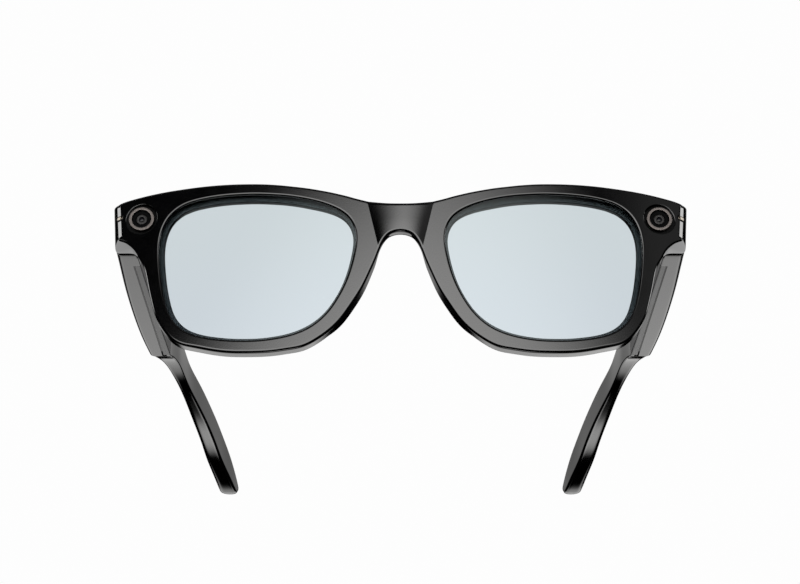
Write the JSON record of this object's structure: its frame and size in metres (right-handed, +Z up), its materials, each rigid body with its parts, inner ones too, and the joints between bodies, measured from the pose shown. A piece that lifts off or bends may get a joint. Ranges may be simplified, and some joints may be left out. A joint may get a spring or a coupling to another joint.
{
  "type": "smart glasses",
  "caption": "Smart glasses with a thick black rounded-trapezoid frame, a ringed camera module in each upper corner, clear lenses and folding temples with electronics.",
  "frame": {"origin": "centre of the middle charging contact's face, on the back of the bridge", "axes": "+X towards the wearer's left, +Y back towards the ears along the open temples, +Z up"},
  "size_m": [0.1492, 0.1512, 0.0464],
  "materials": {
    "frame_black": "polished black injection-moulded nylon",
    "cover_black": "satin black moulded plastic",
    "button_black": "satin black moulded plastic",
    "lens_glass": "clear polished lens with a faint anti-reflection tint",
    "bezel_metal": "turned and brushed ring",
    "stud_metal": "dark plated stud",
    "camera_black": "black coated cover glass",
    "camera_lens": "coated lens in a black barrel",
    "hinge_steel": "satin nickel-plated steel",
    "contact_gold": "gold-plated contacts",
    "mesh_metal": "fine dark woven mesh",
    "module_metal": "bare module can",
    "board_green": "solder-masked circuit board",
    "battery_foil": "foil pouch cell",
    "flex_film": "polyimide film"
  },
  "bodies": {
    "front": {"front_shell": "frame_black", "brow_cover": "frame_black", "front_flex": "flex_film", "lens_left": "lens_glass", "lens_right": "lens_glass", "charge_contacts": "contact_gold", "bridge_microphone": "module_metal", "microphone_mesh": "mesh_metal", "camera_bezel_left": "bezel_metal", "camera_window_left": "camera_black", "camera_barrel_left": "camera_lens", "camera_board_left": "board_green", "corner_stud_left": "stud_metal", "front_hinge_left": "hinge_steel", "hinge_screw_left": "hinge_steel", "camera_bezel_right": "bezel_metal", "camera_window_right": "camera_black", "camera_barrel_right": "camera_lens", "camera_board_right": "board_green", "corner_stud_right": "stud_metal", "front_hinge_right": "hinge_steel", "hinge_screw_right": "hinge_steel"},
    "temple_left": {"temple_shell_left": "frame_black", "temple_cover_left": "cover_black", "temple_hinge_left": "hinge_steel", "leaf_screws_left": "hinge_steel", "battery_left": "battery_foil", "main_board_left": "board_green", "speaker_left": "module_metal", "speaker_mesh_left": "mesh_metal", "temple_flex_left": "flex_film", "temple_microphone_left": "module_metal", "antenna": "flex_film", "slide_switch": "module_metal"},
    "temple_right": {"temple_shell_right": "frame_black", "temple_cover_right": "cover_black", "temple_hinge_right": "hinge_steel", "leaf_screws_right": "hinge_steel", "battery_right": "battery_foil", "main_board_right": "board_green", "speaker_right": "module_metal", "speaker_mesh_right": "mesh_metal", "temple_flex_right": "flex_film", "temple_microphone_right": "module_metal", "touch_sensor": "flex_film", "button_switch": "module_metal"},
    "button": {"capture_button": "button_black"},
    "slider": {"power_slider": "button_black"}
  },
  "joints": [
    {"name": "left_temple_fold", "type": "hinge", "parent": "front", "child": "temple_left", "pos_m": [0.0664, 0.0109, 0.0018], "axis": [0, 0, 1], "range_deg": [0, 86]},
    {"name": "right_temple_fold", "type": "hinge", "parent": "front", "child": "temple_right", "pos_m": [-0.0664, 0.0109, 0.0018], "axis": [0, 0, -1], "range_deg": [0, 78]},
    {"name": "button_press", "type": "slide", "parent": "temple_right", "child": "button", "axis": [0, 0, -1], "range_m": [0, 0.0003]},
    {"name": "slider_travel", "type": "slide", "parent": "temple_left", "child": "slider", "axis": [0, 1, 0], "range_m": [0, 0.0016]}
  ]
}
